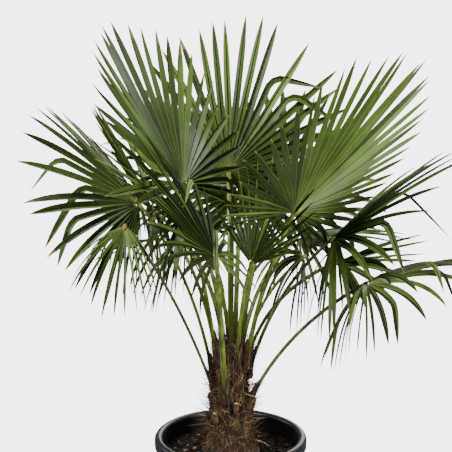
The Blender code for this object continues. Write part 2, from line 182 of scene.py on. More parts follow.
# Azimuth 0 is +X, 90 is +Y. Upright young leaves come first, then the arching older ones.
LEAVES = (
    Leaf(185, 0.535, 10, -0.230, -0.010, 0.975, 188, 43, -28, 0.36, 130, -15, 0.2, 3.0, 4, 38, 1.00),
    Leaf(-105, 0.480, 10, -0.035, -0.230, 0.885, 180, 38, 25, 0.41, 95, 5, 0.3, 1.0, 3, 24, 0.95),
    Leaf(-150, 0.575, 10, -0.115, -0.080, 1.035, 180, 26, -23, 0.43, 115, 10, 0.0, 0.5, 5, 34, 0.95),
    Leaf(90, 0.590, 5, -0.005, 0.200, 1.035, 15, 17, 75, 0.43, 120, -15, 0.0, 1.5, 4, 36, 0.95),
    Leaf(-30, 0.560, 10, 0.155, -0.110, 0.970, -5, 39, -30, 0.48, 115, 0, 0.0, 0.0, 5, 38, 0.90),
    Leaf(0, 0.535, 15, 0.260, 0.000, 0.885, -10, 51, 5, 0.40, 135, 5, 0.2, 4.5, 3, 32, 0.95),
    Leaf(-35, 0.465, 26, 0.340, -0.040, 0.775, -30, 62, -10, 0.35, 150, 5, 0.5, 5.0, 3, 28, 0.95),
    Leaf(-65, 0.570, 5, 0.050, -0.070, 0.830, 0, 20, 60, 0.30, 55, 20, 0.0, 0.0, 3, 18, 0.95),
    Leaf(45, 0.570, 5, 0.140, 0.240, 0.970, 70, 25, 10, 0.32, 140, 10, 0.2, 2.0, 4, 28, 1.00),
    Leaf(120, 0.570, 5, -0.210, 0.220, 0.920, 165, 30, 10, 0.34, 140, 10, 0.1, 3.0, 4, 32, 1.00),
    Leaf(75, 0.560, 5, 0.030, 0.340, 0.960, 90, 50, 0, 0.39, 150, 10, 0.2, 3.0, 4, 34, 1.00),
    Leaf(200, 0.500, 20, -0.250, -0.190, 0.950, -135, 163, -10, 0.23, 150, 10, 0.5, 4.5, 2, 24, 1.00),
    Leaf(30, 0.540, 15, 0.280, 0.060, 0.810, 5, 80, -45, 0.25, 75, 10, 0.1, 3.0, 3, 14, 0.95),
    Leaf(105, 0.520, 10, -0.100, 0.300, 0.860, 105, 80, 0, 0.36, 160, 10, 0.3, 3.0, 3, 32, 1.00),
    Leaf(135, 0.530, 10, -0.150, 0.200, 0.850, 125, 100, 0, 0.28, 150, 10, 0.5, 3.0, 3, 26, 1.00),
    Leaf(60, 0.530, 10, 0.190, 0.270, 0.840, 50, 85, 0, 0.34, 160, 10, 0.3, 3.0, 3, 30, 1.00),
    Leaf(95, 0.550, 5, -0.105, 0.050, 0.945, -135, 130, 70, 0.30, 150, 20, 1.3, 4.5, 2, 26, 1.00),
    Leaf(15, 0.560, 5, 0.195, 0.060, 0.825, -125, 90, -75, 0.25, 80, 0, 1.3, 2.5, 2, 16, 1.00),
)


# Leaflets that the photograph shows folded over: (leaf, place in its fan) and how far along the fold is
FOLDED = {
    (1, 21): 0.65,
    (1, 23): 0.45,
    (1, 26): 0.6,
    (2, 12): 0.85,
    (4, 14): 0.58,
    (4, 16): 0.6,
    (6, 15): 0.5,
    (7, 11): 0.75,
}


class PalmSettings(bpy.types.PropertyGroup):
    """Sizes and colours of the dressed palm."""

    pleat: FloatProperty(
        name="Pleat", description="Slope of a leaflet's halves near the hub", default=math.radians(40), subtype="ANGLE"
    )
    rib_width: FloatProperty(name="Rib width", description="Half width of a midrib", default=0.0010, unit="LENGTH")
    hairs: IntProperty(name="Fibres", description="Fine fibres on the trunk", default=8500)
    chips: IntProperty(name="Bark chips", description="Chips on the potting mix", default=900)
    leaf_green: FloatVectorProperty(
        name="Leaf green", description="Upper side of a leaflet", default=(0.050, 0.084, 0.012), subtype="COLOR"
    )
    rib_green: FloatVectorProperty(
        name="Rib green", description="Midribs near the hub", default=(0.300, 0.380, 0.110), subtype="COLOR"
    )
    tip_brown: FloatVectorProperty(
        name="Tip colour", description="Dry tips of the leaflets", default=(0.200, 0.170, 0.045), subtype="COLOR"
    )
    young_stalk: FloatVectorProperty(
        name="Young stalk", description="Stalks in the crown's middle", default=(0.155, 0.205, 0.024), subtype="COLOR"
    )
    old_stalk: FloatVectorProperty(
        name="Old stalk", description="Stalks that lean outwards", default=(0.105, 0.115, 0.032), subtype="COLOR"
    )
    fibre_brown: FloatVectorProperty(
        name="Fibre brown", description="Fibre on the trunk", default=(0.050, 0.027, 0.013), subtype="COLOR"
    )
    mix_brown: FloatVectorProperty(
        name="Mix brown", description="Potting mix", default=(0.011, 0.007, 0.004), subtype="COLOR"
    )
    pot_black: FloatVectorProperty(
        name="Pot black", description="Moulded pot", default=(0.010, 0.012, 0.015), subtype="COLOR"
    )


# Small helpers


def heading(azimuth, lean):
    """Unit vector that leans from vertical towards an azimuth, both in degrees."""
    around = math.radians(azimuth)
    tilt = math.radians(lean)
    return Vector((math.cos(around) * math.sin(tilt), math.sin(around) * math.sin(tilt), math.cos(tilt)))


def between(low, high, share):
    return low + (high - low) * share


def add_piece(name, points, faces, surfaces, slots=None, uvs=None, smooth_angle=35.0):
    """A mesh piece with its materials, one slot number per face, and one uv per corner."""
    mesh = bpy.data.meshes.new(name)
    mesh.from_pydata(points, [], faces)
    for surface in surfaces:
        mesh.materials.append(surface)
    if slots:
        mesh.polygons.foreach_set("material_index", slots)
    if uvs:
        layer = mesh.uv_layers.new(name="place")
        layer.data.foreach_set("uv", [value for uv in uvs for value in uv])
    mesh.shade_smooth()
    mesh.set_sharp_from_angle(angle=math.radians(smooth_angle))
    piece = bpy.data.objects.new(name, mesh)
    bpy.context.scene.collection.objects.link(piece)
    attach(piece, BODY)
    return piece


def turned_faces(rows, sides):
    """Quads between closed rows of points."""
    faces = []
    for row in range(rows - 1):
        for side in range(sides):
            a = row * sides + side
            b = row * sides + (side + 1) % sides
            faces.append((a, b, b + sides, a + sides))
    return faces


# Materials


def new_surface(name, colour, roughness):
    """A material and its shader, with the shader's own sockets set."""
    made = bpy.data.materials.new(name)
    made.use_nodes = True
    shader = made.node_tree.nodes["Principled BSDF"]
    shader.inputs["Base Color"].default_value = (*colour, 1.0)
    shader.inputs["Roughness"].default_value = roughness
    return made, made.node_tree.nodes, made.node_tree.links, shader


def add_noise(nodes, links, scale, detail=6.0, stretch=(1.0, 1.0, 1.0), coordinate="Object"):
    place = nodes.new("ShaderNodeTexCoord")
    mapping = nodes.new("ShaderNodeMapping")
    mapping.inputs["Scale"].default_value = stretch
    pattern = nodes.new("ShaderNodeTexNoise")
    pattern.inputs["Scale"].default_value = scale
    pattern.inputs["Detail"].default_value = detail
    links.new(place.outputs[coordinate], mapping.inputs["Vector"])
    links.new(mapping.outputs["Vector"], pattern.inputs["Vector"])
    return pattern.outputs["Fac"]


def add_ramp(nodes, links, factor, stops):
    """Colours along a factor, from (place, colour) pairs."""
    ramp = nodes.new("ShaderNodeValToRGB")
    ramp.color_ramp.elements[0].position = stops[0][0]
    ramp.color_ramp.elements[0].color = (*stops[0][1], 1.0)
    ramp.color_ramp.elements[1].position = stops[-1][0]
    ramp.color_ramp.elements[1].color = (*stops[-1][1], 1.0)
    for place, colour in stops[1:-1]:
        ramp.color_ramp.elements.new(place).color = (*colour, 1.0)
    links.new(factor, ramp.inputs["Fac"])
    return ramp.outputs["Color"]


def add_range(nodes, links, factor, low, high):
    """A factor of about 0.3 to 0.7 spread over a range of values."""
    spread = nodes.new("ShaderNodeMapRange")
    spread.inputs["From Min"].default_value = 0.3
    spread.inputs["From Max"].default_value = 0.7
    spread.inputs["To Min"].default_value = low
    spread.inputs["To Max"].default_value = high
    links.new(factor, spread.inputs["Value"])
    return spread.outputs["Result"]


def add_bump(nodes, links, shader, height, distance, strength=1.0):
    bump = nodes.new("ShaderNodeBump")
    bump.inputs["Distance"].default_value = distance
    bump.inputs["Strength"].default_value = strength
    links.new(height, bump.inputs["Height"])
    links.new(bump.outputs["Normal"], shader.inputs["Normal"])


def shaded(colour, factor):
    return tuple(min(1.0, value * factor) for value in colour)


def leaf_surface(name, colour, roughness=0.42, gloss=0.35):
    """A leathery leaflet: fine veins along it, and slightly uneven green and gloss."""
    made, nodes, links, shader = new_surface(name, colour, roughness)
    veins = add_noise(nodes, links, 1.0, 3.0, (26.0, 3.0, 1.0), "UV")
    patches = add_noise(nodes, links, 14.0, 4.0)
    mixed = nodes.new("ShaderNodeMath")
    mixed.operation = "ADD"
    links.new(veins, mixed.inputs[0])
    links.new(patches, mixed.inputs[1])
    half = nodes.new("ShaderNodeMath")
    half.operation = "MULTIPLY"
    half.inputs[1].default_value = 0.5
    links.new(mixed.outputs[0], half.inputs[0])
    tint = add_ramp(
        nodes, links, half.outputs[0], [(0.32, shaded(colour, 0.62)), (0.5, colour), (0.68, shaded(colour, 1.45))]
    )
    links.new(tint, shader.inputs["Base Color"])
    links.new(add_range(nodes, links, patches, roughness - 0.06, roughness + 0.12), shader.inputs["Roughness"])
    shader.inputs["Specular IOR Level"].default_value = gloss
    add_bump(nodes, links, shader, veins, 0.0004)
    return made


def fibre_surface(name, colour, roughness=0.85, scale=60.0):
    """Coarse fibre that runs up the trunk."""
    made, nodes, links, shader = new_surface(name, colour, roughness)
    strands = add_noise(nodes, links, scale, 8.0, (1.0, 1.0, 0.12))
    tint = add_ramp(
        nodes,
        links,
        strands,
        [(0.30, shaded(colour, 0.25)), (0.48, colour), (0.60, shaded(colour, 2.2)), (0.75, shaded(colour, 3.6))],
    )
    links.new(tint, shader.inputs["Base Color"])
    add_bump(nodes, links, shader, strands, 0.003)
    return made


def rough_surface(name, colour, scale=90.0, roughness=0.9, bump=0.001):
    """Crumbly matter with uneven colour."""
    made, nodes, links, shader = new_surface(name, colour, roughness)
    shader.inputs["Specular IOR Level"].default_value = 0.2
    grain = add_noise(nodes, links, scale, 8.0)
    tint = add_ramp(nodes, links, grain, [(0.3, shaded(colour, 0.4)), (0.5, colour), (0.72, shaded(colour, 2.0))])
    links.new(tint, shader.inputs["Base Color"])
    add_bump(nodes, links, shader, grain, bump)
    return made


def stalk_surface(name, colour):
    """A smooth stalk with faint lengthwise streaks."""
    made, nodes, links, shader = new_surface(name, colour, 0.4)
    streaks = add_noise(nodes, links, 95.0, 5.0, (1.0, 1.0, 0.05))
    tint = add_ramp(nodes, links, streaks, [(0.34, shaded(colour, 0.4)), (0.5, colour), (0.66, shaded(colour, 1.9))])
    links.new(tint, shader.inputs["Base Color"])
    add_bump(nodes, links, shader, streaks, 0.0004)
    return made


def plastic_surface(colour):
    """Satin moulded plastic with a fine grain, faint scuffs and a little dust."""
    made, nodes, links, shader = new_surface("pot_skin", colour, 0.36)
    dust = add_noise(nodes, links, 6.0, 6.0)
    grain = add_noise(nodes, links, 900.0, 2.0)
    tint = add_ramp(nodes, links, dust, [(0.35, shaded(colour, 0.8)), (0.6, shaded(colour, 1.2)), (0.8, shaded(colour, 2.6))])
    links.new(tint, shader.inputs["Base Color"])
    links.new(add_range(nodes, links, dust, 0.28, 0.48), shader.inputs["Roughness"])
    add_bump(nodes, links, shader, grain, 0.0001)
    return made


# Pot and soil


def wall_radius(height):
    """Outer radius of the pot's wall."""
    return POT_FOOT_RADIUS + (POT_TOP_RADIUS - POT_FOOT_RADIUS) * height / POT_HEIGHT


def pot_profile():
    """(radius, height) pairs from inside the pot over its rim to its underside."""
    under_rim = POT_HEIGHT - POT_RIM_DEPTH
    lip_round = POT_RIM_WIDTH / 2
    lip_middle = POT_RIM_RADIUS - lip_round
    profile = [(wall_radius(0.25) - POT_WALL, 0.25), (wall_radius(under_rim) - POT_WALL, under_rim)]
    for step in range(17):
        angle = math.pi - math.pi * step / 16
        profile.append((lip_middle + lip_round * math.cos(angle), POT_HEIGHT - lip_round * (1 - math.sin(angle))))
    profile += [(POT_RIM_RADIUS, under_rim + 0.003), (POT_RIM_RADIUS - 0.001, under_rim)]
    profile += [(wall_radius(under_rim) + 0.001, under_rim - 0.001), (wall_radius(under_rim), under_rim - 0.004)]
    profile += [(wall_radius(0.2), 0.2), (wall_radius(0.03), 0.03), (POT_FOOT_RADIUS + 0.002, 0.006)]
    profile += [(POT_FOOT_RADIUS, 0.002), (POT_FOOT_RADIUS - 0.003, 0.0), (POT_FOOT_RADIUS - 0.02, 0.0)]
    return profile


def build_pot(palm):
    profile = pot_profile()
    points = [heading(360.0 * side / POT_SIDES, 90.0) * radius + UP * height for radius, height in profile for side in range(POT_SIDES)]
    faces = turned_faces(len(profile), POT_SIDES)
    last = (len(profile) - 1) * POT_SIDES
    faces.append(tuple(range(last, last + POT_SIDES)))
    piece = add_piece("pot_shell", points, faces, [plastic_surface(palm.pot_black)], smooth_angle=50.0)
    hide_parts("pot")


def soil_height(x, y):
    place = Vector((x, y, 0.0))
    return SOIL_TOP - SOIL_BUMP * 0.3 + SOIL_BUMP * noise.noise(place * 22.0) + 0.4 * SOIL_BUMP * noise.noise(place * 90.0)


def chip(dice, place, size):
    """The corners and faces of one flake of bark."""
    turn = Matrix.Rotation(dice.uniform(0, math.tau), 3, "Z") @ Matrix.Rotation(dice.uniform(-0.7, 0.7), 3, "X")
    long_side = size * dice.uniform(0.8, 1.6)
    wide_side = size * dice.uniform(0.4, 0.9)
    thick = size * dice.uniform(0.15, 0.35)
    outline = [(math.cos(i * math.tau / 6), math.sin(i * math.tau / 6)) for i in range(6)]
    points = []
    for layer, shrink in ((-1, 0.8), (1, 1.0)):
        for x, y in outline:
            jitter = dice.uniform(0.75, 1.2)
            points.append(place + turn @ Vector((x * long_side * jitter * shrink, y * wide_side * jitter * shrink, layer * thick)))
    faces = [(5, 4, 3, 2, 1, 0), (6, 7, 8, 9, 10, 11)]
    faces += [(i, (i + 1) % 6, (i + 1) % 6 + 6, i + 6) for i in range(6)]
    return points, faces


def build_soil(palm):
    edge = wall_radius(SOIL_TOP) - POT_WALL - 2 * GAP
    points = []
    for ring in range(SOIL_RINGS):
        radius = edge * (ring + 1) / SOIL_RINGS
        for side in range(SOIL_SIDES):
            flat = heading(360.0 * side / SOIL_SIDES, 90.0) * radius
            points.append(Vector((flat.x, flat.y, soil_height(flat.x, flat.y))))
    faces = turned_faces(SOIL_RINGS, SOIL_SIDES)
    faces.append(tuple(range(SOIL_SIDES)))
    mix = rough_surface("mix_crumbs", palm.mix_brown, 120.0, 0.95, 0.002)
    bed = add_piece("mix_bed", points, faces, [mix], smooth_angle=60.0)
    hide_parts("soil")
    dice = random.Random(7)
    tints = [shaded(palm.mix_brown, 0.7), (0.016, 0.009, 0.005), (0.040, 0.022, 0.011), (0.15, 0.095, 0.05), (0.36, 0.28, 0.18)]
    surfaces = [rough_surface(f"bark_{i}", tint, 160.0, 0.85, 0.0006) for i, tint in enumerate(tints)]
    points = []
    faces = []
    slots = []
    for count in range(palm.chips):
        radius = edge * math.sqrt(dice.uniform(0.10, 0.97))
        flat = heading(dice.uniform(0, 360), 90.0) * radius
        size = dice.uniform(0.0025, 0.0065) if dice.random() < 0.85 else dice.uniform(0.007, 0.011)
        place = Vector((flat.x, flat.y, soil_height(flat.x, flat.y) + size * 0.2))
        chip_points, chip_faces = chip(dice, place, min(size, (edge - radius) * 0.9 + 0.001))
        faces += [tuple(len(points) + corner for corner in face) for face in chip_faces]
        points += chip_points
        tint = dice.choices(range(5), (40, 34, 20, 5, 1))[0]
        slots += [tint] * len(chip_faces)
    chips = add_piece("bark_chips", points, faces, surfaces, slots, smooth_angle=30.0)


# Trunk


def trunk_radius(height):
    """Radius of the trunk without its leaf bases."""
    for (low, r_low), (high, r_high) in zip(TRUNK_PROFILE, TRUNK_PROFILE[1:]):
        if height <= high:
            share = max(0.0, (height - low) / (high - low))
            return r_low + (r_high - r_low) * share
    return TRUNK_PROFILE[-1][1]


def base_places():
    """(azimuth, top height) of the old leaf bases, in a golden-angle spiral."""
    low = TRUNK_PROFILE[0][0]
    return [((count * GOLDEN_ANGLE + 20.0) % 360.0, low + 0.045 + 0.0065 * count) for count in range(BASE_COUNT)]


def base_relief(azimuth, height):
    """How far the old leaf bases stand out, thickest at their tops."""
    lift = 0.0
    for centre, top in base_places():
        aside = abs((azimuth - centre + 180.0) % 360.0 - 180.0) / BASE_ANGLE
        below = (top - height) / BASE_HEIGHT
        if aside < 1.0 and 0.0 <= below <= 1.0:
            lift = max(lift, BASE_LIFT * (1.0 - aside * aside) * (1.0 - below))
    return lift


def trunk_surface_radius(azimuth, height):
    flat = heading(azimuth, 90.0)
    ridges = noise.noise(Vector((flat.x * 9.0, flat.y * 9.0, height * 12.0)))
    strands = noise.noise(Vector((flat.x * 34.0, flat.y * 34.0, height * 14.0)))
    return trunk_radius(height) + base_relief(azimuth, height) + 0.0014 * ridges + 0.0018 * strands - 0.0010


def build_trunk(palm):
    rings = 110
    sides = 120
    low = TRUNK_PROFILE[0][0]
    high = TRUNK_PROFILE[-1][0]
    points = []
    for ring in range(rings):
        height = between(low, high, ring / (rings - 1))
        for side in range(sides):
            azimuth = 360.0 * side / sides
            points.append(heading(azimuth, 90.0) * trunk_surface_radius(azimuth, height) + UP * height)
    faces = turned_faces(rings, sides)
    faces.append(tuple(range((rings - 1) * sides, rings * sides)))
    fibre = fibre_surface("trunk_fibre_mat", shaded(palm.fibre_brown, 0.6))
    piece = add_piece("trunk_bark", points, faces, [fibre], smooth_angle=60.0)
    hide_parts("trunk")
    build_sheaths(palm)
    build_boots(palm)
    build_fibres(palm)
    build_stubs(palm)


def sheet_faces(start, rows, columns):
    """Quads of an open sheet of points that are stored row by row."""
    faces = []
    for row in range(rows - 1):
        for column in range(columns - 1):
            a = start + row * columns + column
            faces.append((a, a + 1, a + columns + 1, a + columns))
    return faces


def build_sheaths(palm):
    """The torn sheaths of old leaves: curved flaps with ragged, paler edges that hug the trunk."""
    dice = random.Random(11)
    brown = fibre_surface("sheath_fibre", shaded(palm.fibre_brown, 0.9), 0.85, 90.0)
    pale = rough_surface("sheath_edge", shaded(palm.fibre_brown, 4.2), 260.0, 0.8, 0.0004)
    points = []
    faces = []
    slots = []
    columns = 40
    rows = 14
    for centre, top in base_places():
        if top > SHEATH_HIGHEST:
            continue
        half = dice.uniform(28.0, 42.0)
        tall = dice.uniform(0.035, 0.052)
        tilt = dice.uniform(-0.008, 0.008)
        stand = dice.uniform(1.4, 2.4)
        start = len(points)
        for row in range(rows):
            share = row / (rows - 1)
            for column in range(columns):
                aside = 2.0 * column / (columns - 1) - 1.0
                ragged = noise.noise(Vector((aside * 9.0, centre, top * 50.0)))
                peak = top + 0.006 - 0.024 * aside * aside + tilt * aside + 0.006 * ragged
                height = max(TRUNK_PROFILE[0][0] + 0.0002, between(top - tall, peak, share))
                azimuth = centre + aside * half * (1.0 - 0.3 * share)
                out = trunk_radius(height) + BASE_LIFT * (0.35 + stand * share**2) * (1.0 - 0.4 * aside * aside)
                points.append(heading(azimuth, 90.0) * out + UP * height)
        faces += sheet_faces(start, rows, columns)
        for row in range(rows - 1):
            for column in range(columns - 1):
                torn = noise.noise(Vector((column * 0.3, centre, 3.0))) > -0.25
                slots.append(1 if row == rows - 2 and torn else 0)
    piece = add_piece("old_sheaths", points, faces, [brown, pale], slots, smooth_angle=60.0)


def build_boots(palm):
    """Fibrous boots round the feet of the stalks, torn at their upper edge."""
    dice = random.Random(17)
    brown = fibre_surface("boot_fibre", shaded(palm.fibre_brown, 0.9), 0.85, 150.0)
    pale = rough_surface("boot_edge", shaded(palm.fibre_brown, 3.0), 260.0, 0.8, 0.0004)
    points = []
    faces = []
    slots = []
    rows = 10
    columns = 46
    for number, leaf in enumerate(LEAVES):
        foot = stalk_foot(leaf)
        size = foot_radius(leaf)
        inwards = heading(leaf.foot_azimuth, 90.0) * -1.0
        side = UP.cross(inwards)
        tall = dice.uniform(0.035, 0.060)
        start = len(points)
        for row in range(rows):
            share = row / (rows - 1)
            for column in range(columns):
                angle = math.tau * column / (columns - 1)
                around = Vector((math.cos(angle), math.sin(angle), 0.0))
                ragged = noise.noise(around * 2.0 + UP * number * 3.0) + 0.9 * noise.noise(around * 9.0 + UP * number)
                front = max(0.0, -math.sin(angle)) ** 2
                peak = tall * (1.0 + 0.6 * ragged) * (1.0 - BOOT_OPENING * front)
                rise = between(-BOOT_SINK, peak, share)
                bulge = 1.0 + 0.35 * noise.noise(around * 2.2 + UP * (number * 5.0 + share * 2.5))
                along = max(0.0, rise) / (hub_of(leaf) - foot).length
                middle = stalk_curve(leaf, along) + UP * min(0.0, rise)
                middle += inwards * size * 0.9 * (1.0 - share) ** 3
                width = size * between(2.0, 1.25, share)
                depth = size * between(1.8, 1.2, share)
                ring = side * math.cos(angle) * width + inwards * math.sin(angle) * depth
                points.append(middle + ring * bulge)
        faces += sheet_faces(start, rows, columns)
        for row in range(rows - 1):
            for column in range(columns - 1):
                torn = noise.noise(Vector((column * 0.5, number * 2.0, 5.0))) > 0.1
                slots.append(1 if row == rows - 2 and torn else 0)
    piece = add_piece("stalk_boots", points, faces, [brown, pale], slots, smooth_angle=60.0)


def loose_fibre(dice):
    """The centre line of a fibre that leaves the trunk and curls."""
    azimuth = dice.uniform(0.0, 360.0)
    height = between(0.325, 0.590, dice.random() ** 0.85)
    length = dice.uniform(0.035, 0.065) if dice.random() < 0.14 else dice.uniform(0.010, 0.034)
    way = heading(azimuth + dice.gauss(0.0, 35.0), dice.gauss(32.0, 22.0))
    if dice.random() < 0.22:
        way = heading(azimuth + dice.gauss(0.0, 30.0), dice.uniform(75.0, 140.0))
    curl = Vector((dice.gauss(0, 1), dice.gauss(0, 1), dice.gauss(-0.4, 1))) * 0.4
    here = heading(azimuth, 90.0) * (trunk_surface_radius(azimuth, height) - 0.001) + UP * height
    line = [here]
    for step in range(FIBRE_STEPS):
        way = (way + curl / FIBRE_STEPS).normalized()
        here = here + way * length / FIBRE_STEPS
        line.append(here)
    return line


def long_strand(dice):
    """The centre line of a torn strand that stands off the trunk and curls upwards."""
    azimuth = dice.uniform(0.0, 360.0)
    height = dice.uniform(0.335, 0.510)
    length = dice.uniform(0.035, 0.070)
    way = heading(azimuth + dice.gauss(0.0, 22.0), dice.uniform(35.0, 100.0))
    curl = Vector((dice.gauss(0, 0.5), dice.gauss(0, 0.5), dice.gauss(0.6, 0.5))) * 0.8
    here = heading(azimuth, 90.0) * (trunk_surface_radius(azimuth, height) - 0.001) + UP * height
    line = [here]
    for step in range(FIBRE_STEPS):
        way = (way + curl / FIBRE_STEPS).normalized()
        here = here + way * length / FIBRE_STEPS
        line.append(here)
    return line


def boot_fibre(dice):
    """The centre line of a fibre that runs up a stalk's boot and stands off it."""
    leaf = dice.choice(LEAVES)
    reach = (hub_of(leaf) - stalk_foot(leaf)).length
    start = dice.uniform(-0.015, 0.045)
    length = dice.uniform(0.012, 0.045)
    angle = dice.uniform(0.0, math.tau)
    outwards = dice.uniform(0.0, 0.022)
    inwards = heading(leaf.foot_azimuth, 90.0) * -1.0
    away = UP.cross(inwards) * math.cos(angle) + inwards * math.sin(angle)
    size = foot_radius(leaf) * between(1.75, 1.15, max(0.0, start) / 0.045)
    line = []
    for step in range(FIBRE_STEPS + 1):
        share = step / FIBRE_STEPS
        rise = start + length * share
        here = stalk_curve(leaf, max(0.0, rise) / reach) + UP * min(0.0, rise)
        line.append(here + away * (size + outwards * share**2))
    return line


def lying_fibre(dice):
    """The centre line of a fibre that lies on the trunk, more or less upright."""
    azimuth = dice.uniform(0.0, 360.0)
    height = dice.uniform(0.318, 0.560)
    turn = dice.gauss(0.0, 26.0)
    rise = dice.uniform(0.012, 0.045)
    off = dice.uniform(0.001, 0.0055)
    line = []
    for step in range(FIBRE_STEPS + 1):
        share = step / FIBRE_STEPS
        here = azimuth + turn * share**1.5
        high = min(TRUNK_PROFILE[-1][0], height + rise * share)
        line.append(heading(here, 90.0) * (trunk_surface_radius(here, high) + off * (0.4 + share)) + UP * high)
    return line


FIBRE_KINDS = ((loose_fibre, 0.0009), (lying_fibre, 0.0007), (boot_fibre, 0.0008), (long_strand, 0.0018))
FIBRE_SHARES = (0.40, 0.28, 0.28, 0.04)


def build_fibres(palm):
    """Fine fibres on the trunk and off it, as thin strips that end in a point."""
    dice = random.Random(23)
    tints = [(0.020, 0.011, 0.006), (0.070, 0.037, 0.018), (0.19, 0.108, 0.050), (0.44, 0.30, 0.155)]
    surfaces = [rough_surface(f"fibre_{i}", tint, 300.0, 0.7, 0.0001) for i, tint in enumerate(tints)]
    points = []
    faces = []
    slots = []
    for count in range(palm.hairs):
        kind, widest = dice.choices(FIBRE_KINDS, FIBRE_SHARES)[0]
        line = kind(dice)
        half = widest * dice.uniform(0.4, 1.0)
        out = Vector((line[0].x, line[0].y, 0.0)).normalized()
        side = (line[1] - line[0]).cross(out).normalized() * half
        first = len(points)
        for step, here in enumerate(line[:-1]):
            left = 1.0 - step / FIBRE_STEPS
            points += [here - side * left, here + side * left]
        points.append(line[-1])
        for step in range(FIBRE_STEPS - 1):
            a = first + 2 * step
            faces.append((a, a + 1, a + 3, a + 2))
        faces.append((first + 2 * FIBRE_STEPS - 2, first + 2 * FIBRE_STEPS - 1, first + 2 * FIBRE_STEPS))
        slots += [dice.choices(range(4), (36, 24, 20, 20))[0]] * FIBRE_STEPS
    piece = add_piece("loose_fibres", points, faces, surfaces, slots)


def build_stubs(palm):
    """Stalks that were cut off, with a bevelled rim and a paler cut."""
    dice = random.Random(31)
    skin = rough_surface("stub_skin", (0.15, 0.090, 0.042), 120.0, 0.8, 0.0005)
    cut = rough_surface("stub_cut", (0.30, 0.21, 0.11), 300.0, 0.85, 0.0004)
    sides = 18
    for count, (azimuth, height) in enumerate(STUBS, start=1):
        below = height - STUB_RADIUS
        out = trunk_radius(below) + base_relief(azimuth, below) + STUB_RADIUS + GAP
        foot = heading(azimuth, 90.0) * out + UP * height
        along = heading(azimuth, STUB_LEAN)
        first = along.cross(UP).normalized()
        second = along.cross(first)
        points = []
        for share, size in ((0.0, 0.8), (0.3, 0.95), (0.6, 1.0), (0.93, 0.92), (1.0, 0.82), (0.985, 0.55)):
            for side in range(sides):
                angle = math.tau * side / sides
                radius = STUB_RADIUS * size * (1.0 + 0.05 * dice.uniform(-1, 1))
                round_off = first * math.cos(angle) * radius + second * math.sin(angle) * radius * 0.8
                points.append(foot + along * STUB_LENGTH * share + round_off)
        faces = turned_faces(6, sides)
        slots = [0] * (4 * sides) + [1] * sides
        faces.append(tuple(range(5 * sides, 6 * sides)))
        faces.append(tuple(reversed(range(sides))))
        slots += [1, 0]
        piece = add_piece(f"cut_stub_{count}", points, faces, [skin, cut], slots, smooth_angle=50.0)
        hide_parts(f"stalk_stub_{count}")


# Leaves: the rule of the part's source


def foot_radius(leaf):
    """A stalk's radius at its foot: a larger blade has a thicker stalk."""
    return STALK_SHARE * leaf.radius + STALK_LEAST


def stalk_foot(leaf):
    """The middle of a stalk's foot, just clear of the trunk."""
    below = leaf.foot_height - foot_radius(leaf)
    out = trunk_radius(below) + base_relief(leaf.foot_azimuth, below) + foot_radius(leaf) + GAP
    return heading(leaf.foot_azimuth, 90.0) * out + UP * leaf.foot_height


def hub_of(leaf):
    return Vector((leaf.hub_x, leaf.hub_y, leaf.hub_z))


def stalk_curve(leaf, share):
    """A point of the stalk's arch, from its foot at 0 to its hub at 1."""
    foot = stalk_foot(leaf)
    hub = hub_of(leaf)
    knee = foot + heading(leaf.foot_azimuth, leaf.foot_lean) * STALK_KNEE * (hub - foot).length
    return foot * (1 - share) ** 2 + knee * 2 * share * (1 - share) + hub * share**2


def blade_axes(leaf):
    """The blade's direction, its side direction and its upper face's normal."""
    along = heading(leaf.blade_azimuth, leaf.blade_lean)
    face = heading(leaf.blade_azimuth, leaf.blade_lean - 90.0)
    face = Matrix.Rotation(math.radians(leaf.roll), 3, along) @ face
    return along, face.cross(along), face


def leaflet_length(leaf, angle):
    share = abs(angle) / leaf.spread
    return leaf.radius * (1.0 - BASAL_LOSS * share**1.6)


def leaflet_path(leaf, angle, length, sag, lift=0.0, kink=1.0, swing=0.0):
    """Points from the hub to a leaflet's tip, which sags under its own weight and may be bent."""
    along, across, face = blade_axes(leaf)
    turn = math.radians(angle)
    rise = math.radians(leaf.fold) * abs(math.sin(turn))
    share = abs(angle) / leaf.spread
    way = (along * math.cos(turn) + across * math.sin(turn)) * math.cos(rise) + face * math.sin(rise)
    way = (way + DOWN * leaf.limp * HANG * share**3).normalized()
    weight = (leaf.droop + leaf.limp * LIMP_SAG * share**2) * sag
    here = hub_of(leaf)
    points = [here]
    for step in range(PATH_STEPS):
        done = step / PATH_STEPS
        if step == split_step(leaf, angle):
            way = (way + face * math.tan(math.radians(lift))).normalized()
            way = Matrix.Rotation(math.radians(swing), 3, face) @ way
        if kink <= done < kink + BEND_SHARE:
            way = (way + DOWN * BEND_PULL).normalized()
        way = (way + DOWN * weight * (0.25 + done) * SAG / PATH_STEPS).normalized()
        here = here + way * length / PATH_STEPS
        points.append(here)
    return points


def leaflet_width(leaf, free):
    """Width beyond the split, as a share of the width there; free is 0 at the split and 1 at the tip."""
    return between(1.0, leaf.strap, min(1.0, free / NARROW_BY)) * (1.0 - free**BLUNT)


class Seed(NamedTuple):
    """How one leaflet differs from the even fan."""

    length: float
    sag: float
    lift: float
    kink: float
    swing: float


def leaflet_seed(leaf, dice, outer):
    """A throw for one leaflet; outer is 0 in the fan's middle and 1 at its edge, where more are bent."""
    length = dice.uniform(0.94, 1.03)
    sag = dice.uniform(0.7, 1.3)
    lift = dice.uniform(-3.0, 3.0)
    bent = dice.random() < BENT_SHARE * outer**2
    bend_at = dice.uniform(0.45, 0.8)
    swing = dice.gauss(0.0, SWING + SWING_BY_LIMP * leaf.limp)
    return Seed(length, sag, lift, bend_at if bent else 1.0, swing)


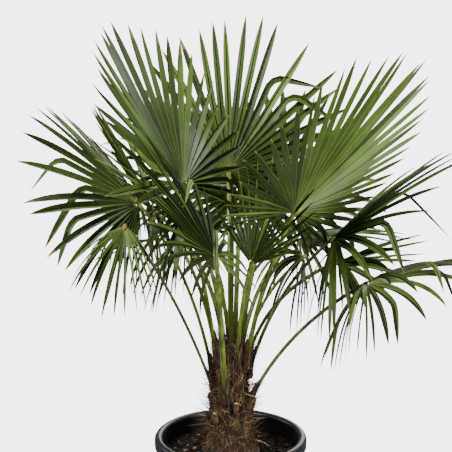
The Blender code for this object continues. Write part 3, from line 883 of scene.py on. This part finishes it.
class Leaflet(NamedTuple):
    """A leaflet's centre line, the two lines where it meets its neighbours, and the step where they part."""

    centre: list
    left: list
    right: list
    split: int


def split_step(leaf, angle):
    """The path step at which a leaflet parts from its neighbours: sooner towards the fan's edges."""
    return max(2, round(STEP_SHARE * leaf.joined * (1.0 - EDGE_SPLIT * (angle / EDGE_ANGLE) ** 2)))


def fine_leaflet(leaf, place, seed, lift, reach):
    step = 2.0 * leaf.spread / leaf.leaflets
    angle = (place + 0.5) * step - leaf.spread
    split = split_step(leaf, angle)
    left = leaflet_path(leaf, angle - step / 2, leaflet_length(leaf, angle - step / 2), 1.0)
    right = leaflet_path(leaf, angle + step / 2, leaflet_length(leaf, angle + step / 2), 1.0)
    length = leaflet_length(leaf, angle) * seed.length * reach
    path = leaflet_path(leaf, angle, length, seed.sag, seed.lift + lift, seed.kink, seed.swing)
    shift = (left[split] + right[split]) / 2 - path[split]
    centre = [(a + b) / 2 for a, b in zip(left[:split], right)]
    centre += [point + shift for point in path[split:]]
    return Leaflet(centre, left[: split + 1], right[: split + 1], split)


def test_strip(leaf, leaflet, first):
    """The space of a leaflet from one of its steps to its tip, as a closed strip."""
    split = leaflet.split
    side = (leaflet.right[-1] - leaflet.left[-1]) / 2
    free_steps = PATH_STEPS - split
    rows = []
    for step in (0, split - 1, split + 1, split + round(free_steps * 0.4), split + round(free_steps * 0.72)):
        if step < first:
            continue
        if step < split:
            rows.append((leaflet.left[max(step, 1)], leaflet.right[max(step, 1)]))
        else:
            half = side * leaflet_width(leaf, (step - split) / free_steps)
            rows.append((leaflet.centre[step] - half, leaflet.centre[step] + half))
    tip = leaflet.centre[-1]
    middles = [(left + right) / 2 for left, right in rows] + [tip]
    points = []
    for i, (left, right) in enumerate(rows):
        out = (right - left).cross(middles[i + 1] - middles[i]).normalized() * TEST_THICKNESS / 2
        points += [left + out, right + out, right - out, left - out]
    points += [tip + out, tip - out]
    faces = [(0, 1, 2, 3)]
    for row in range(0, 4 * len(rows) - 4, 4):
        for edge in range(4):
            far = (edge + 1) % 4
            faces.append((row + edge, row + 4 + edge, row + 4 + far, row + far))
    last = 4 * len(rows) - 4
    faces += [(last, last + 4, last + 1), (last + 2, last + 5, last + 3)]
    faces += [(last + 1, last + 4, last + 5, last + 2), (last, last + 3, last + 5, last + 4)]
    return points, faces


def joined_tree(strips):
    points = []
    faces = []
    for strip_points, strip_faces in strips:
        faces += [tuple(len(points) + corner for corner in face) for face in strip_faces]
        points += strip_points
    return BVHTree.FromPolygons(points, faces)


def stalk_radius(leaf, share):
    return max(STALK_THINNEST, foot_radius(leaf) * between(1.0, STALK_TAPER, share))


def stalk_tube(leaf):
    """A plain round tube in the stalk's place, for tests of what meets it."""
    points = []
    for ring in range(8):
        share = 0.94 * ring / 7
        here = stalk_curve(leaf, share)
        way = (stalk_curve(leaf, share + 0.02) - here).normalized()
        first = way.cross(Vector((0.3, 0.9, 0.1))).normalized()
        second = way.cross(first)
        for side in range(6):
            angle = math.tau * side / 6
            points.append(here + (first * math.cos(angle) + second * math.sin(angle)) * stalk_radius(leaf, share))
    return points, turned_faces(8, 6)


def clear_leaflets(leaf, number, others):
    """The finer leaflets of a blade that meet nothing, each with its place in the fan."""
    dice = random.Random(number)
    kept = []
    own = []
    for place in range(leaf.leaflets):
        seed = leaflet_seed(leaf, dice, abs(2.0 * place / leaf.leaflets - 1.0))
        seed = seed._replace(kink=FOLDED.get((number, place), seed.kink))
        for lift, reach in TRIES:
            leaflet = fine_leaflet(leaf, place, seed, lift, reach)
            free = joined_tree([test_strip(leaf, leaflet, leaflet.split + 1)])
            if any(free.overlap(tree) for tree in own):
                continue
            whole = joined_tree([test_strip(leaf, leaflet, 0)])
            if any(whole.overlap(tree) for tree in others):
                continue
            kept.append((place, leaflet))
            own.append(free)
            break
    return kept


# Leaves: what shows

# Factors of the leaf green. The first is painted shade for the strip beside each midrib. The others are tints that
# each leaflet draws at random, and each leaflet's right half takes the next darker one as painted shade of the pleat's
# far side.
LEAF_TINTS_AND_SHADES = (0.16, 0.48, 0.86, 1.35, 1.9, 2.6)
PAINTED_SHADE_SLOT = 0
RIB_SLOT = 6
TIP_SLOT = 7
RIB_END = 0.75
# Width of the strip of painted shade beside the midrib, as a share of the right half, and how much it narrows towards
# the tip
PAINTED_SHADE_SHARE = 0.42
PAINTED_SHADE_TAPER = 0.55


def leaflet_mesh(leaf, leaflet, dice, pleat, rib_width, face):
    """Rows of five points across a pleated leaflet, left edge to right edge, and its tip; the fourth point ends a
    strip of painted shade beside the midrib.
    """
    split = leaflet.split
    half_split = (leaflet.right[-1] - leaflet.left[-1]) / 2
    twist = math.radians(dice.gauss(0.0, 16.0))
    rows = []
    for step in range(PATH_STEPS):
        centre = leaflet.centre[step]
        way = (leaflet.centre[step + 1] - leaflet.centre[max(0, step - 1)]).normalized()
        done = step / PATH_STEPS
        slope = pleat * (1.0 - 0.2 * done)
        if step == 0:
            start = leaflet.left[0]
            edge_left = start + (leaflet.left[1] - start).normalized() * HUB_RADIUS
            edge_right = start + (leaflet.right[1] - start).normalized() * HUB_RADIUS
            centre = (edge_left + edge_right) / 2
            half = (edge_right - edge_left) / 2
        elif step <= split:
            half = (leaflet.right[step] - leaflet.left[step]) / 2
            edge_left = centre - half
            edge_right = centre + half
        else:
            free = (step - split) / (PATH_STEPS - split)
            side = (half_split - way * half_split.dot(way)).normalized()
            side = Matrix.Rotation(twist * free, 3, way) @ side
            half = side * half_split.length * leaflet_width(leaf, free)
            edge_left = centre - half
            edge_right = centre + half
        up = half.cross(way).normalized()
        if up.dot(face if step <= split else last_up) < 0.0:
            up = -up
        last_up = up
        low = centre - up * half.length * math.tan(slope)
        rib = rib_width * (1.0 - 0.6 * done)
        towards_left = (edge_left - low).normalized() * rib
        # The strip from the fold to this point is painted shade beside the midrib
        painted_shade_span = (edge_right - low) * PAINTED_SHADE_SHARE * (1.0 - PAINTED_SHADE_TAPER * done)
        rows.append((edge_left, low + towards_left, low, low + painted_shade_span, edge_right))
    return rows, leaflet.centre[-1]


def build_blade(number, leaf, kept, surfaces, palm):
    dice = random.Random(1000 + number)
    face = blade_axes(leaf)[2]
    points = []
    faces = []
    slots = []
    uvs = []
    for place, leaflet in kept:
        rows, tip = leaflet_mesh(leaf, leaflet, dice, palm.pleat, palm.rib_width, face)
        tint = dice.choices((2, 3, 4, 5), (3, 4, 3, 1))[0]
        dry = 2 if dice.random() < 0.15 else 1
        first = len(points)
        for row in rows:
            points += row
        points.append(tip)
        last = len(rows) - 1
        columns = (0.0, 0.46, 0.5, 0.65, 1.0)
        shift = dice.uniform(0.0, 40.0)
        for i in range(last):
            done = i / last
            for j in range(4):
                a = first + 5 * i + j
                faces.append((a, a + 1, a + 6, a + 5))
                # Left half in the leaflet's own tint, then the pale rib, then painted shade beside the midrib, then
                # the right half one green darker as painted shade
                strip = (tint, RIB_SLOT if done < RIB_END else tint, PAINTED_SHADE_SLOT, tint - 1)[j]
                slots.append(TIP_SLOT if i >= last + 1 - dry else strip)
                for column, row in ((j, i), (j + 1, i), (j + 1, i + 1), (j, i + 1)):
                    uvs.append((columns[column] + shift, row / last * 1.5))
        for j in range(4):
            a = first + 5 * last + j
            faces.append((a, a + 1, first + 5 * last + 5))
            slots.append(TIP_SLOT)
            uvs += [(columns[j] + shift, 1.5), (columns[j + 1] + shift, 1.5), (0.5 + shift, 1.55)]
    piece = add_piece(f"blade_{number:02d}", points, faces, surfaces, slots, uvs, smooth_angle=28.0)
    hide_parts(f"frond_{number:02d}")


def build_stalk(number, leaf, skin, tan):
    """A stalk that is flatter on its upper side, with the small flap at its hub."""
    points = []
    for ring in range(STALK_RINGS):
        share = ring / (STALK_RINGS - 1)
        here = stalk_curve(leaf, share)
        way = (stalk_curve(leaf, min(1.0, share + 0.02)) - stalk_curve(leaf, max(0.0, share - 0.02))).normalized()
        inner = (heading(leaf.foot_azimuth, 90.0) * -1.0).cross(way).cross(way) * -1.0
        inner = inner.normalized()
        side = way.cross(inner)
        radius = stalk_radius(leaf, share)
        for corner in range(STALK_SIDES):
            angle = math.tau * corner / STALK_SIDES
            depth = math.sin(angle)
            depth = depth * 0.55 if depth > 0.0 else depth * 0.95
            points.append(here + side * math.cos(angle) * radius * 1.1 + inner * depth * radius)
    faces = turned_faces(STALK_RINGS, STALK_SIDES)
    last = (STALK_RINGS - 1) * STALK_SIDES
    faces.append(tuple(reversed(range(STALK_SIDES))))
    faces.append(tuple(range(last, last + STALK_SIDES)))
    slots = [0] * len(faces)
    along, across, face = blade_axes(leaf)
    hub = hub_of(leaf)
    start = len(points)
    for ring, (size, rise) in enumerate(((1.0, -0.001), (0.85, 0.003), (0.4, 0.005))):
        for corner in range(8):
            angle = math.tau * corner / 8
            flat = along * (math.cos(angle) * 0.010 + 0.004) + across * math.sin(angle) * 0.007
            points.append(hub + flat * size + face * rise)
    for ring in range(2):
        for corner in range(8):
            a = start + ring * 8 + corner
            b = start + ring * 8 + (corner + 1) % 8
            faces.append((a, b, b + 8, a + 8))
    faces.append(tuple(range(start + 16, start + 24)))
    slots += [1] * 17
    piece = add_piece(f"stalk_{number:02d}", points, faces, [skin, tan], slots, smooth_angle=50.0)
    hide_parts(f"petiole_{number:02d}")


def build_leaves(palm):
    tints_and_shades = [shaded(palm.leaf_green, factor) for factor in LEAF_TINTS_AND_SHADES]
    # This material is painted shade for the strip beside each midrib: darker, dull and with little gloss
    surfaces = [leaf_surface("leaf_painted_shade", tints_and_shades[PAINTED_SHADE_SLOT], 0.7, 0.05)]
    surfaces += [leaf_surface(f"leaf_tint_and_shade_{i}", green) for i, green in enumerate(tints_and_shades[1:], start=1)]
    surfaces.append(leaf_surface("leaf_rib", palm.rib_green, 0.5))
    surfaces.append(leaf_surface("leaf_tip", palm.tip_brown, 0.6))
    young = stalk_surface("young_stalk", palm.young_stalk)
    old = stalk_surface("old_stalk", palm.old_stalk)
    tan = rough_surface("hub_flap", (0.21, 0.19, 0.05), 200.0, 0.6, 0.0002)
    taken = [joined_tree([stalk_tube(leaf)]) for leaf in LEAVES]
    for number, leaf in enumerate(LEAVES, start=1):
        kept = clear_leaflets(leaf, number, taken[: number - 1] + taken[number:])
        build_blade(number, leaf, kept, surfaces, palm)
        build_stalk(number, leaf, young if leaf.foot_lean < OLD_FROM_LEAN else old, tan)
        taken.append(joined_tree([test_strip(leaf, leaflet, 0) for place, leaflet in kept]))


def build_spear(palm):
    """The youngest leaf: a folded bundle of pleats that stands upright."""
    foot = UP * (TRUNK_PROFILE[-1][0] + GAP)
    rise = heading(SPEAR_AZIMUTH, SPEAR_LEAN)
    rings = 24
    sides = 22
    points = []
    for ring in range(rings):
        share = ring / (rings - 1)
        radius = 0.0045 + 0.002 * math.sin(share * math.pi) - 0.004 * share**3
        for side in range(sides):
            angle = math.tau * side / sides + 0.8 * share
            pleat = 1.0 if side % 2 else 0.72
            round_off = Vector((math.cos(angle), math.sin(angle), 0.0)) * radius * pleat
            points.append(foot + rise * SPEAR_LENGTH * share + round_off)
    faces = turned_faces(rings, sides)
    faces.append(tuple(reversed(range(sides))))
    faces.append(tuple(range((rings - 1) * sides, rings * sides)))
    green = leaf_surface("spear_green", shaded(palm.leaf_green, 1.8))
    piece = add_piece("folded_leaf", points, faces, [green], smooth_angle=20.0)
    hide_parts("spear_leaf")


# Stage


def build_camera():
    data = bpy.data.cameras.new("photo_camera")
    data.sensor_width = SENSOR_WIDTH
    data.lens = FOCAL_PIXELS / PHOTO_SIDE * SENSOR_WIDTH
    camera = bpy.data.objects.new("photo_camera", data)
    camera.location = CAMERA_PLACE
    camera.rotation_euler = (math.radians(90.0 - CAMERA_PITCH), 0.0, 0.0)
    bpy.context.scene.collection.objects.link(camera)
    bpy.context.scene.camera = camera


def build_floor():
    """A pale round floor that fades out into the white of the studio."""
    made, nodes, links, shader = new_surface("floor_paper", FLOOR_WHITE, 0.9)
    place = nodes.new("ShaderNodeTexCoord")
    distance = nodes.new("ShaderNodeVectorMath")
    distance.operation = "LENGTH"
    links.new(place.outputs["Object"], distance.inputs[0])
    fade = nodes.new("ShaderNodeMapRange")
    fade.interpolation_type = "SMOOTHERSTEP"
    fade.inputs["From Min"].default_value = FLOOR_SOLID
    fade.inputs["From Max"].default_value = FLOOR_RADIUS
    links.new(distance.outputs["Value"], fade.inputs["Value"])
    clear = nodes.new("ShaderNodeBsdfTransparent")
    mix = nodes.new("ShaderNodeMixShader")
    links.new(fade.outputs["Result"], mix.inputs["Fac"])
    links.new(shader.outputs["BSDF"], mix.inputs[1])
    links.new(clear.outputs["BSDF"], mix.inputs[2])
    links.new(mix.outputs["Shader"], nodes["Material Output"].inputs["Surface"])
    outline = [heading(360.0 * side / FLOOR_SIDES, 90.0) * FLOOR_RADIUS for side in range(FLOOR_SIDES)]
    mesh = bpy.data.meshes.new("floor")
    mesh.from_pydata(outline, [], [tuple(range(FLOOR_SIDES))])
    mesh.materials.append(made)
    floor = bpy.data.objects.new("floor", mesh)
    bpy.context.scene.collection.objects.link(floor)


def add_light(name, place, target, size, power):
    data = bpy.data.lights.new(name, "AREA")
    data.shape = "DISK"
    data.size = size
    data.energy = power
    lamp = bpy.data.objects.new(name, data)
    lamp.location = place
    lamp.rotation_euler = (Vector(target) - Vector(place)).to_track_quat("-Z", "Y").to_euler()
    bpy.context.scene.collection.objects.link(lamp)


def build_world():
    """A white studio: bright where it is seen, and soft as a light."""
    world = bpy.data.worlds.new("studio")
    world.use_nodes = True
    nodes = world.node_tree.nodes
    links = world.node_tree.links
    seen = nodes.new("ShaderNodeBackground")
    seen.inputs["Strength"].default_value = SEEN_WHITE
    soft = nodes["Background"]
    soft.inputs["Color"].default_value = (1.0, 1.0, 1.0, 1.0)
    soft.inputs["Strength"].default_value = SOFT_WHITE
    rays = nodes.new("ShaderNodeLightPath")
    mix = nodes.new("ShaderNodeMixShader")
    links.new(rays.outputs["Is Camera Ray"], mix.inputs["Fac"])
    links.new(soft.outputs["Background"], mix.inputs[1])
    links.new(seen.outputs["Background"], mix.inputs[2])
    links.new(mix.outputs["Shader"], nodes["World Output"].inputs["Surface"])
    bpy.context.scene.world = world


def build_lights():
    build_world()
    add_light("key", (-1.9, -1.6, 2.6), (0.0, 0.0, 0.85), 0.9, 110.0)
    add_light("fill", (2.4, -1.8, 1.6), (0.0, 0.0, 0.85), 0.9, 110.0)
    add_light("top", (0.3, 0.5, 3.7), (0.0, 0.0, 0.9), 1.2, 100.0)
    add_light("left", (-2.8, 0.8, 1.6), (0.0, 0.0, 0.9), 1.4, 14.0)
    add_light("back", (0.9, 2.9, 2.0), (0.0, 0.0, 0.8), 2.4, 65.0)


# Operators, panel and running


class PALM_OT_pot(bpy.types.Operator):
    """Build the pot's shell with its rolled rim"""

    bl_idname = "palm.pot"
    bl_label = "Pot"

    def execute(self, context):
        build_pot(context.scene.palm)
        return {"FINISHED"}


class PALM_OT_soil(bpy.types.Operator):
    """Build the bed of potting mix and its bark chips"""

    bl_idname = "palm.soil"
    bl_label = "Potting mix"

    def execute(self, context):
        build_soil(context.scene.palm)
        return {"FINISHED"}


class PALM_OT_trunk(bpy.types.Operator):
    """Build the trunk with its sheaths, loose fibres and cut stalks"""

    bl_idname = "palm.trunk"
    bl_label = "Trunk"

    def execute(self, context):
        build_trunk(context.scene.palm)
        return {"FINISHED"}


class PALM_OT_leaves(bpy.types.Operator):
    """Build the stalks and the pleated blades"""

    bl_idname = "palm.leaves"
    bl_label = "Leaves"

    def execute(self, context):
        build_leaves(context.scene.palm)
        return {"FINISHED"}


class PALM_OT_spear(bpy.types.Operator):
    """Build the youngest leaf, still folded"""

    bl_idname = "palm.spear"
    bl_label = "Folded leaf"

    def execute(self, context):
        build_spear(context.scene.palm)
        return {"FINISHED"}


class PALM_OT_stage(bpy.types.Operator):
    """Set the camera, the pale floor and the studio light"""

    bl_idname = "palm.stage"
    bl_label = "Stage"

    def execute(self, context):
        build_camera()
        build_floor()
        build_lights()
        return {"FINISHED"}


OPERATORS = (PALM_OT_stage, PALM_OT_pot, PALM_OT_soil, PALM_OT_trunk, PALM_OT_leaves, PALM_OT_spear)


class PALM_PT_panel(bpy.types.Panel):
    """Lists the steps that build the palm"""

    bl_label = "Potted windmill palm"
    bl_idname = "PALM_PT_panel"
    bl_space_type = "VIEW_3D"
    bl_region_type = "UI"
    bl_category = "Palm"

    def draw(self, context):
        palm = context.scene.palm
        for name in ("pleat", "rib_width", "hairs", "chips"):
            self.layout.prop(palm, name)
        for name in ("leaf_green", "rib_green", "tip_brown", "young_stalk", "old_stalk", "fibre_brown", "mix_brown", "pot_black"):
            self.layout.prop(palm, name)
        for step in OPERATORS:
            self.layout.operator(step.bl_idname)


def register():
    bpy.utils.register_class(PalmSettings)
    for step in OPERATORS:
        bpy.utils.register_class(step)
    bpy.utils.register_class(PALM_PT_panel)
    bpy.types.Scene.palm = PointerProperty(type=PalmSettings)


def unregister():
    del bpy.types.Scene.palm
    bpy.utils.unregister_class(PALM_PT_panel)
    for step in reversed(OPERATORS):
        bpy.utils.unregister_class(step)
    bpy.utils.unregister_class(PalmSettings)


def main():
    register()
    bpy.ops.palm.stage()
    bpy.ops.palm.pot()
    bpy.ops.palm.soil()
    bpy.ops.palm.trunk()
    bpy.ops.palm.leaves()
    bpy.ops.palm.spear()


if __name__ == "__main__":
    main()
